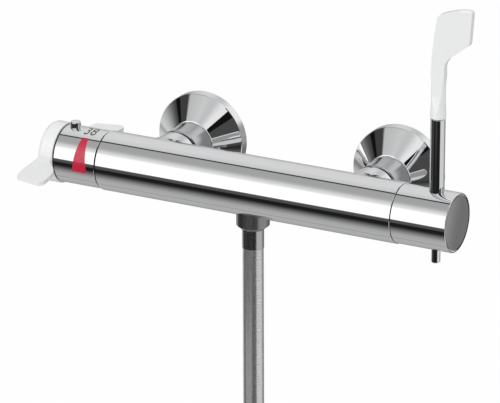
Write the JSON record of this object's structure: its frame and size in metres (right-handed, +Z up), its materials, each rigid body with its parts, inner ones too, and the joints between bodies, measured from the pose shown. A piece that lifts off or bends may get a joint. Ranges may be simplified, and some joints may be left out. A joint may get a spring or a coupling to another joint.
{
  "type": "thermostatic shower mixer",
  "caption": "Wall-mounted chrome bar mixer with a winged temperature handle, a long flow lever and a shower hose under the body.",
  "frame": {"origin": "on the wall plane, midway between the two inlets", "axes": "+X along the body towards the flow lever, +Y into the wall, +Z up"},
  "size_m": [0.3136, 0.1481, 0.4881],
  "materials": {
    "chrome": "polished chrome plate",
    "brass": "machined",
    "hose_skin": "satin silver with a fine texture",
    "white_plastic": "glossy white",
    "valve_plastic": "natural",
    "black_plastic": "black",
    "rubber": "black",
    "steel": "plain stainless",
    "copper": "copper colour",
    "ceramic": "lapped",
    "red_band": "red marking"
  },
  "bodies": {
    "mixer": {"mixer_body": "chrome", "hot_escutcheon": "chrome", "cold_escutcheon": "chrome", "hot_union": "brass", "cold_union": "brass", "hot_union_nut": "chrome", "cold_union_nut": "chrome", "hot_filter_washer": "rubber", "cold_filter_washer": "rubber", "hot_check_housing": "valve_plastic", "cold_check_housing": "valve_plastic", "hot_check_spring": "steel", "cold_check_spring": "steel", "cartridge_housing": "brass", "cartridge_nut": "brass", "cartridge_o_rings": "rubber", "stop_ring": "black_plastic", "return_spring": "steel", "headwork_housing": "brass", "disc_seal": "rubber", "fixed_disc": "ceramic", "thrust_washer": "valve_plastic", "outlet_nipple": "brass", "hose_washer": "rubber", "hose_nut": "chrome", "hose_insert": "brass", "hose_ferrule": "chrome", "hose_run": "hose_skin", "hose_coil": "hose_skin", "hose_ties": "black_plastic", "far_ferrule": "chrome", "far_insert": "brass", "far_nut": "chrome"},
    "temperature_handle": {"temperature_spindle": "brass", "temperature_seals": "rubber", "temperature_sleeve": "chrome", "hot_band": "red_band", "temperature_hub": "black_plastic", "temperature_screw": "steel", "wing_grip": "white_plastic", "override_spring": "steel"},
    "override_button": {"override_button": "chrome"},
    "thermostat_carriage": {"regulating_screw": "brass", "overload_spring": "steel", "wax_element": "copper", "mixing_spool": "valve_plastic"},
    "flow_handle": {"turning_disc": "ceramic", "flow_spindle": "brass", "flow_seals": "rubber", "spindle_clip": "steel", "flow_hub": "black_plastic", "flow_screw": "steel", "flow_sleeve": "chrome", "flow_cap": "chrome", "lever_rod": "chrome", "lever_set_screw": "steel", "lever_grip": "white_plastic"},
    "hot_check_valve": {"hot_check_poppet": "black_plastic"},
    "cold_check_valve": {"cold_check_poppet": "black_plastic"}
  },
  "joints": [
    {"name": "temperature_turn", "type": "hinge", "parent": "mixer", "child": "temperature_handle", "pos_m": [-0.125, -0.073, 0], "axis": [-1, 0, 0], "range_deg": [-160, 105]},
    {"name": "override_button_press", "type": "slide", "parent": "temperature_handle", "child": "override_button", "axis": [0, 0, -1], "range_m": [0, 0.002], "stiffness_N_per_m": 400, "springref_m": -0.002, "deforming": ["override_spring"]},
    {"name": "thermostat_slide", "type": "slide", "parent": "mixer", "child": "thermostat_carriage", "axis": [1, 0, 0], "range_m": [-0.0009, 0.0006], "deforming": ["return_spring"]},
    {"name": "lever_turn", "type": "hinge", "parent": "mixer", "child": "flow_handle", "pos_m": [0.125, -0.073, 0], "axis": [1, 0, 0], "range_deg": [0, 90]},
    {"name": "hot_check_open", "type": "slide", "parent": "mixer", "child": "hot_check_valve", "axis": [0, -1, 0], "range_m": [0, 0.0022], "stiffness_N_per_m": 60, "springref_m": -0.002, "deforming": ["hot_check_spring"]},
    {"name": "cold_check_open", "type": "slide", "parent": "mixer", "child": "cold_check_valve", "axis": [0, -1, 0], "range_m": [0, 0.0022], "stiffness_N_per_m": 60, "springref_m": -0.002, "deforming": ["cold_check_spring"]}
  ],
  "couplings": [
    {"joint": "thermostat_slide", "follows": "temperature_turn", "m_per_rad": 0.00031831}
  ]
}
